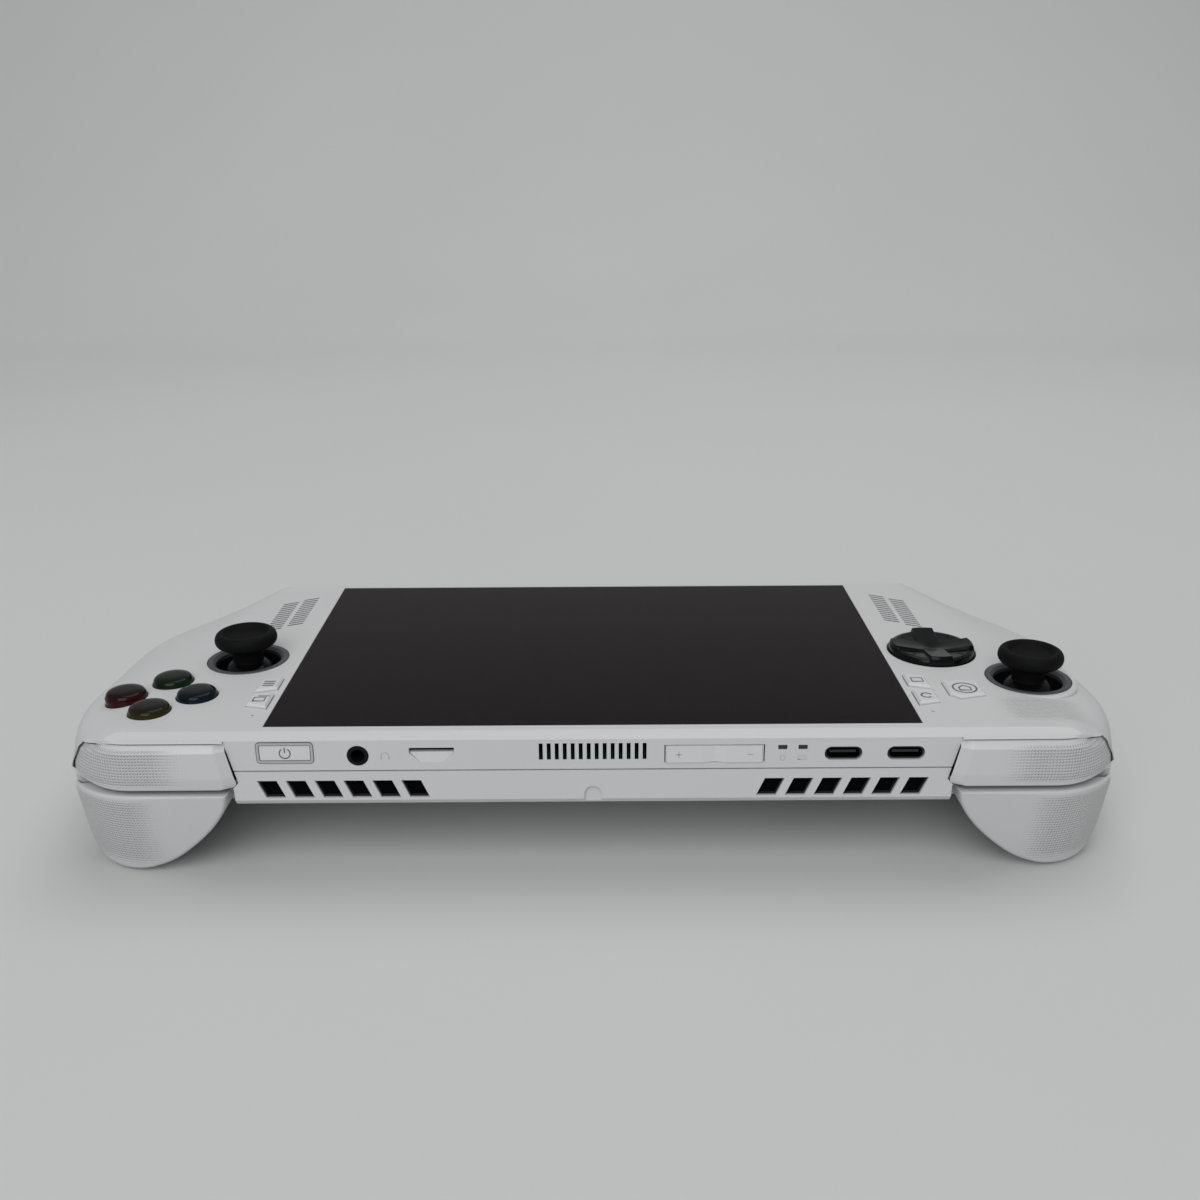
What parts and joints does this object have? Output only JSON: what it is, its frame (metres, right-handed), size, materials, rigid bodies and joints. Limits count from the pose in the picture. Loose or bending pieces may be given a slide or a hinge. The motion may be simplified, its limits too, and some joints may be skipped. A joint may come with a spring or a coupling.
{
  "type": "handheld game console",
  "caption": "Handheld game console lying on its back: wide display between two grips, two thumb sticks, a direction pad, buttons, shoulder keys and sockets along one edge.",
  "frame": {"origin": "centre of the bottom of the overall box: under the middle of the display glass, on the plane that the grips rest on", "axes": "+Z out of the display, -Y out of the edge with the sockets and shoulder buttons, +X towards the side that the left hand holds"},
  "size_m": [0.2908, 0.1216, 0.0507],
  "materials": {
    "shell": "fine matte",
    "glass": "polished, nearly black",
    "display": "dark panel, switched off",
    "white_button": "satin",
    "stick_rubber": "matte rubber",
    "dark_ring": "satin dark grey",
    "gloss_black": "gloss",
    "frame_metal": "plain",
    "fin_metal": "blackened",
    "copper": "copper, plain",
    "board": "solder mask",
    "inner_plastic": "plain black",
    "button_rubber": "soft silicone",
    "power_ring": "bright",
    "power_cap": "smooth",
    "socket_metal": "plated",
    "light_pipe": "clear, frosted"
  },
  "bodies": {
    "root": {"audio_socket": "inner_plastic", "battery": "inner_plastic", "card_reader": "inner_plastic", "case_screws": "socket_metal", "cooling_fins": "fin_metal", "direction_pad_carrier": "inner_plastic", "display_glass": "glass", "display_panel": "display", "face_button_mat": "button_rubber", "front_shell": "shell", "heat_sink": "copper", "left_control_board": "board", "left_fan_housing": "inner_plastic", "left_speaker": "inner_plastic", "left_stick_base": "inner_plastic", "left_stick_ring": "dark_ring", "left_trigger_bracket": "frame_metal", "main_board": "board", "mid_frame": "frame_metal", "power_button_ring": "power_ring", "rear_shell": "shell", "right_control_board": "board", "right_fan_housing": "inner_plastic", "right_speaker": "inner_plastic", "right_stick_base": "inner_plastic", "right_stick_ring": "dark_ring", "right_trigger_bracket": "frame_metal", "status_lights": "light_pipe", "storage_drive": "board", "usb_sockets": "socket_metal", "vibration_motors": "socket_metal", "volume_rocker_bracket": "inner_plastic"},
    "left_stick_carriage": {"left_stick_carriage": "inner_plastic"},
    "left_stick_yoke": {"left_stick_yoke": "inner_plastic"},
    "left_stick": {"left_stick_cap": "stick_rubber"},
    "left_bumper": {"left_bumper": "shell"},
    "left_trigger": {"left_trigger": "shell"},
    "left_back_button": {"left_back_button": "shell"},
    "left_fan": {"left_fan_rotor": "inner_plastic"},
    "right_stick_carriage": {"right_stick_carriage": "inner_plastic"},
    "right_stick_yoke": {"right_stick_yoke": "inner_plastic"},
    "right_stick": {"right_stick_cap": "stick_rubber"},
    "right_bumper": {"right_bumper": "shell"},
    "right_trigger": {"right_trigger": "shell"},
    "right_back_button": {"right_back_button": "shell"},
    "right_fan": {"right_fan_rotor": "inner_plastic"},
    "direction_pad_pivot": {"direction_pad_pivot": "inner_plastic"},
    "direction_pad": {"direction_pad": "gloss_black"},
    "face_button_far": {"face_button_far": "gloss_black"},
    "face_button_near": {"face_button_near": "gloss_black"},
    "face_button_outer": {"face_button_outer": "gloss_black"},
    "face_button_inner": {"face_button_inner": "gloss_black"},
    "view_button": {"view_button": "white_button"},
    "command_button": {"command_button": "white_button"},
    "home_button": {"home_button": "white_button"},
    "menu_button": {"menu_button": "white_button"},
    "library_button": {"library_button": "white_button"},
    "power_button": {"power_button": "power_cap"},
    "volume_rocker": {"volume_rocker": "white_button"}
  },
  "joints": [
    {"name": "left_stick_click", "type": "slide", "parent": "root", "child": "left_stick_carriage", "axis": [0, 0, -1], "range_m": [0, 0.0004], "stiffness_N_per_m": 800},
    {"name": "left_stick_tilt_x", "type": "hinge", "parent": "left_stick_carriage", "child": "left_stick_yoke", "pos_m": [0.1194, -0.0249, 0.034], "axis": [1, 0, 0], "range_deg": [-13.5, 13.5], "stiffness_Nm_per_rad": 0.03},
    {"name": "left_stick_tilt_y", "type": "hinge", "parent": "left_stick_yoke", "child": "left_stick", "pos_m": [0.1194, -0.0249, 0.034], "axis": [0, 1, 0], "range_deg": [-13.5, 13.5], "stiffness_Nm_per_rad": 0.03},
    {"name": "right_stick_click", "type": "slide", "parent": "root", "child": "right_stick_carriage", "axis": [0, 0, -1], "range_m": [0, 0.0004], "stiffness_N_per_m": 800},
    {"name": "right_stick_tilt_x", "type": "hinge", "parent": "right_stick_carriage", "child": "right_stick_yoke", "pos_m": [-0.0992, -0.0081, 0.034], "axis": [1, 0, 0], "range_deg": [-13.5, 13.5], "stiffness_Nm_per_rad": 0.03},
    {"name": "right_stick_tilt_y", "type": "hinge", "parent": "right_stick_yoke", "child": "right_stick", "pos_m": [-0.0992, -0.0081, 0.034], "axis": [0, 1, 0], "range_deg": [-13.5, 13.5], "stiffness_Nm_per_rad": 0.03},
    {"name": "direction_pad_tilt_x", "type": "hinge", "parent": "root", "child": "direction_pad_pivot", "pos_m": [0.098, -0.0049, 0.0375], "axis": [1, 0, 0], "range_deg": [-3.5, 3.5], "stiffness_Nm_per_rad": 0.08},
    {"name": "direction_pad_tilt_y", "type": "hinge", "parent": "direction_pad_pivot", "child": "direction_pad", "pos_m": [0.098, -0.0049, 0.0375], "axis": [0, 1, 0], "range_deg": [-3.5, 3.5], "stiffness_Nm_per_rad": 0.08},
    {"name": "face_button_far_press", "type": "slide", "parent": "root", "child": "face_button_far", "axis": [0, 0, -1], "range_m": [0, 0.0011], "stiffness_N_per_m": 300},
    {"name": "face_button_near_press", "type": "slide", "parent": "root", "child": "face_button_near", "axis": [0, 0, -1], "range_m": [0, 0.0011], "stiffness_N_per_m": 300},
    {"name": "face_button_outer_press", "type": "slide", "parent": "root", "child": "face_button_outer", "axis": [0, 0, -1], "range_m": [0, 0.0011], "stiffness_N_per_m": 300},
    {"name": "face_button_inner_press", "type": "slide", "parent": "root", "child": "face_button_inner", "axis": [0, 0, -1], "range_m": [0, 0.0011], "stiffness_N_per_m": 300},
    {"name": "view_button_press", "type": "slide", "parent": "root", "child": "view_button", "axis": [0, 0, -1], "range_m": [0, 0.0006], "stiffness_N_per_m": 300},
    {"name": "command_button_press", "type": "slide", "parent": "root", "child": "command_button", "axis": [0, 0, -1], "range_m": [0, 0.0006], "stiffness_N_per_m": 300},
    {"name": "home_button_press", "type": "slide", "parent": "root", "child": "home_button", "axis": [0, 0, -1], "range_m": [0, 0.0006], "stiffness_N_per_m": 300},
    {"name": "menu_button_press", "type": "slide", "parent": "root", "child": "menu_button", "axis": [0, 0, -1], "range_m": [0, 0.0006], "stiffness_N_per_m": 300},
    {"name": "library_button_press", "type": "slide", "parent": "root", "child": "library_button", "axis": [0, 0, -1], "range_m": [0, 0.0006], "stiffness_N_per_m": 300},
    {"name": "power_button_press", "type": "slide", "parent": "root", "child": "power_button", "axis": [0, 1, 0], "range_m": [0, 0.0005], "stiffness_N_per_m": 300},
    {"name": "volume_rocker_tilt", "type": "hinge", "parent": "root", "child": "volume_rocker", "pos_m": [0.03045, -0.055, 0.03675], "axis": [0, 0, 1], "range_deg": [-1.2, 1.2], "stiffness_Nm_per_rad": 0.05},
    {"name": "left_bumper_press", "type": "hinge", "parent": "root", "child": "left_bumper", "pos_m": [0.0965, -0.0562, 0.034], "axis": [0, 0, 1], "range_deg": [0, 1], "stiffness_Nm_per_rad": 0.3},
    {"name": "left_trigger_pull", "type": "hinge", "parent": "root", "child": "left_trigger", "pos_m": [0.1115, -0.053, 0.022], "axis": [1, 0, 0], "range_deg": [0, 12], "stiffness_Nm_per_rad": 0.06},
    {"name": "left_back_button_press", "type": "slide", "parent": "root", "child": "left_back_button", "axis": [0, 0, 1], "range_m": [0, 0.0006], "stiffness_N_per_m": 300},
    {"name": "left_fan_spin", "type": "hinge", "parent": "root", "child": "left_fan", "pos_m": [0.06, -0.02, 0.024], "axis": [0, 0, 1], "continuous": true},
    {"name": "right_bumper_press", "type": "hinge", "parent": "root", "child": "right_bumper", "pos_m": [-0.0965, -0.0562, 0.034], "axis": [0, 0, -1], "range_deg": [0, 1], "stiffness_Nm_per_rad": 0.3},
    {"name": "right_trigger_pull", "type": "hinge", "parent": "root", "child": "right_trigger", "pos_m": [-0.1115, -0.053, 0.022], "axis": [1, 0, 0], "range_deg": [0, 12], "stiffness_Nm_per_rad": 0.06},
    {"name": "right_back_button_press", "type": "slide", "parent": "root", "child": "right_back_button", "axis": [0, 0, 1], "range_m": [0, 0.0006], "stiffness_N_per_m": 300},
    {"name": "right_fan_spin", "type": "hinge", "parent": "root", "child": "right_fan", "pos_m": [-0.06, -0.02, 0.024], "axis": [0, 0, 1], "continuous": true}
  ]
}
